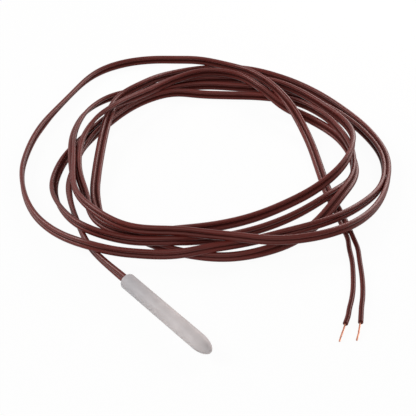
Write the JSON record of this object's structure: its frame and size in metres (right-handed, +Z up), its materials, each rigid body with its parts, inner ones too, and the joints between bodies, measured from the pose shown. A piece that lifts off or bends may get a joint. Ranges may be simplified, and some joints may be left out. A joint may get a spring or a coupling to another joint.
{
  "type": "thermistor temperature sensor",
  "caption": "Pointed pale plastic temperature probe on a long flat brown twin cord, loosely coiled, with bare copper ends.",
  "frame": {"origin": "on the floor under the middle of the probe capsule", "axes": "+X along the capsule from its cord end to its pointed nose, +Z up from the floor"},
  "size_m": [0.2138, 0.1575, 0.0126],
  "materials": {
    "capsule_plastic": "satin moulded plastic",
    "resin": "cast resin",
    "bead_coating": "glossy dipped coat",
    "chip": "sintered",
    "silver_plate": "fired metal paste",
    "tinned_wire": "tinned",
    "sleeve": "extruded",
    "shrink": "shrunk tube",
    "cord_pvc": "glossy soft extruded plastic",
    "copper": "bare twisted copper"
  },
  "bodies": {
    "root": {"capsule": "capsule_plastic", "rear_plug": "resin", "bead_fill": "resin", "bead_coat": "bead_coating", "thermistor_chip": "chip", "chip_plate_a": "silver_plate", "chip_plate_b": "silver_plate", "bead_wire_a": "tinned_wire", "bead_wire_b": "tinned_wire", "sleeve_a": "sleeve", "sleeve_b": "sleeve", "splice_a": "tinned_wire", "splice_b": "tinned_wire", "shrink_a": "shrink", "shrink_b": "shrink", "inner_copper_a": "copper", "inner_copper_b": "copper", "inner_core_a": "cord_pvc", "inner_core_b": "cord_pvc", "cord_stub": "cord_pvc", "cord_lead": "cord_pvc", "cord_coil": "cord_pvc", "cord_outer_loop": "cord_pvc", "cord_tail": "cord_pvc", "leg_a": "cord_pvc", "leg_b": "cord_pvc", "copper_end_a": "copper", "copper_end_b": "copper"}
  },
  "joints": []
}
